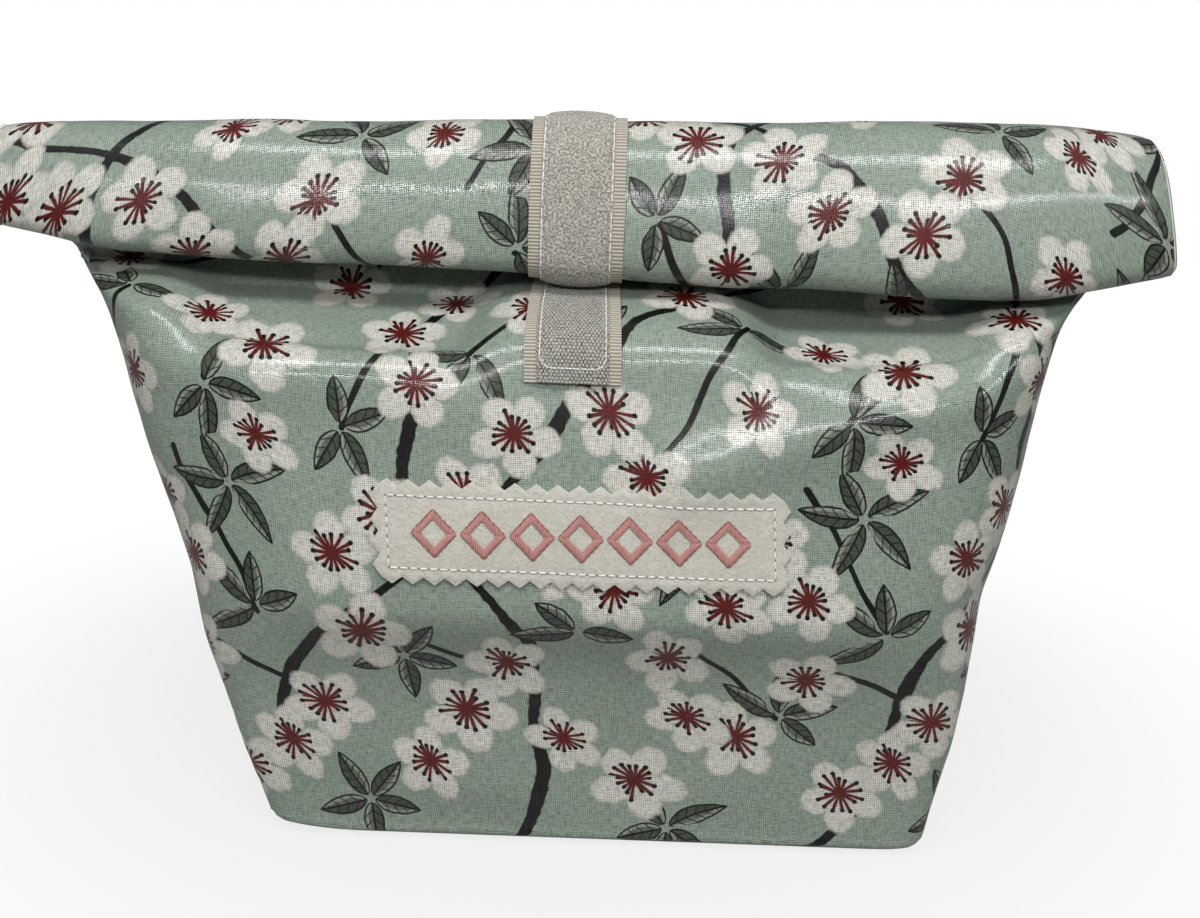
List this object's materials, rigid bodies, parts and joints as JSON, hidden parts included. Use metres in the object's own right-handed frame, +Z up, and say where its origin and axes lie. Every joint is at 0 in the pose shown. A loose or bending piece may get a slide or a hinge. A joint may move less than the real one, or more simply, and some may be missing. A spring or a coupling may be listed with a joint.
{
  "type": "roll-top pouch",
  "caption": "Soft pouch with a boxed base and a flat neck whose top rolls forwards and fastens with hook-and-loop tape.",
  "frame": {"origin": "centre of the base, on the surface that the pouch stands on", "axes": "+Z up, +X along the roll to the right as seen from the front, +Y from the front to the back"},
  "size_m": [0.3148, 0.139, 0.1949],
  "materials": {
    "coated_cotton": "glossy coated plain weave, printed",
    "lining": "plain woven, matt",
    "tape": "hook-and-loop tape, matt pile",
    "leather": "grained, satin",
    "thread": "polyester thread",
    "embroidery": "satin stitch"
  },
  "bodies": {
    "bag": {"front_panel": "coated_cotton", "back_panel": "coated_cotton", "lining_front": "lining", "lining_back": "lining", "front_panel_neck": "coated_cotton", "back_panel_neck": "coated_cotton", "lining_front_neck": "lining", "lining_back_neck": "lining", "loop_tape_neck": "tape", "loop_thread_left_neck": "thread", "loop_thread_right_neck": "thread", "hook_tape": "tape", "hook_tape_thread": "thread", "label": "leather", "label_thread": "thread", "label_motif": "embroidery"},
    "roll_top": {"back_panel_roll_top": "coated_cotton", "front_panel_roll_top": "coated_cotton", "lining_back_roll_top": "lining", "lining_front_roll_top": "lining", "loop_tape_roll_top": "tape", "loop_tape_bend_roll_top": "tape", "loop_thread_left_roll_top": "thread", "loop_thread_right_roll_top": "thread"},
    "roll_face": {"back_panel_roll_face": "coated_cotton", "front_panel_roll_face": "coated_cotton", "lining_back_roll_face": "lining", "lining_front_roll_face": "lining", "loop_tape_roll_face": "tape", "loop_tape_bend_roll_face": "tape", "loop_thread_left_roll_face": "thread", "loop_thread_right_roll_face": "thread"},
    "roll_under": {"back_panel_roll_under": "coated_cotton", "front_panel_roll_under": "coated_cotton", "lining_back_roll_under": "lining", "lining_front_roll_under": "lining", "loop_tape_roll_under": "tape", "loop_tape_bend_roll_under": "tape", "loop_thread_left_roll_under": "thread", "loop_thread_right_roll_under": "thread"},
    "roll_hem": {"back_panel_roll_hem": "coated_cotton", "front_panel_roll_hem": "coated_cotton", "lining_back_roll_hem": "lining", "lining_front_roll_hem": "lining", "loop_tape_roll_hem": "tape", "loop_tape_bend_roll_hem": "tape", "hem_thread_back_left": "thread", "hem_thread_back_right": "thread", "hem_thread_front": "thread"}
  },
  "joints": [
    {"name": "roll_top_fold", "type": "hinge", "parent": "bag", "child": "roll_top", "pos_m": [0, 0.0037, 0.19], "axis": [-1, 0, 0], "range_deg": [0, 90], "deforming": ["loop_tape_bend_roll_top"]},
    {"name": "roll_face_fold", "type": "hinge", "parent": "roll_top", "child": "roll_face", "pos_m": [0, -0.0227, 0.19], "axis": [-1, 0, 0], "range_deg": [0, 90], "deforming": ["loop_tape_bend_roll_face"]},
    {"name": "roll_under_fold", "type": "hinge", "parent": "roll_face", "child": "roll_under", "pos_m": [0, -0.0227, 0.157], "axis": [-1, 0, 0], "range_deg": [0, 90], "deforming": ["loop_tape_bend_roll_under"]},
    {"name": "roll_hem_fold", "type": "hinge", "parent": "roll_under", "child": "roll_hem", "pos_m": [0, -0.0072, 0.157], "axis": [-1, 0, 0], "range_deg": [0, 90], "deforming": ["loop_tape_bend_roll_hem"]}
  ],
  "couplings": [
    {"joint": "roll_face_fold", "follows": "roll_top_fold", "ratio": 1},
    {"joint": "roll_under_fold", "follows": "roll_top_fold", "ratio": 1},
    {"joint": "roll_hem_fold", "follows": "roll_top_fold", "ratio": 1}
  ]
}
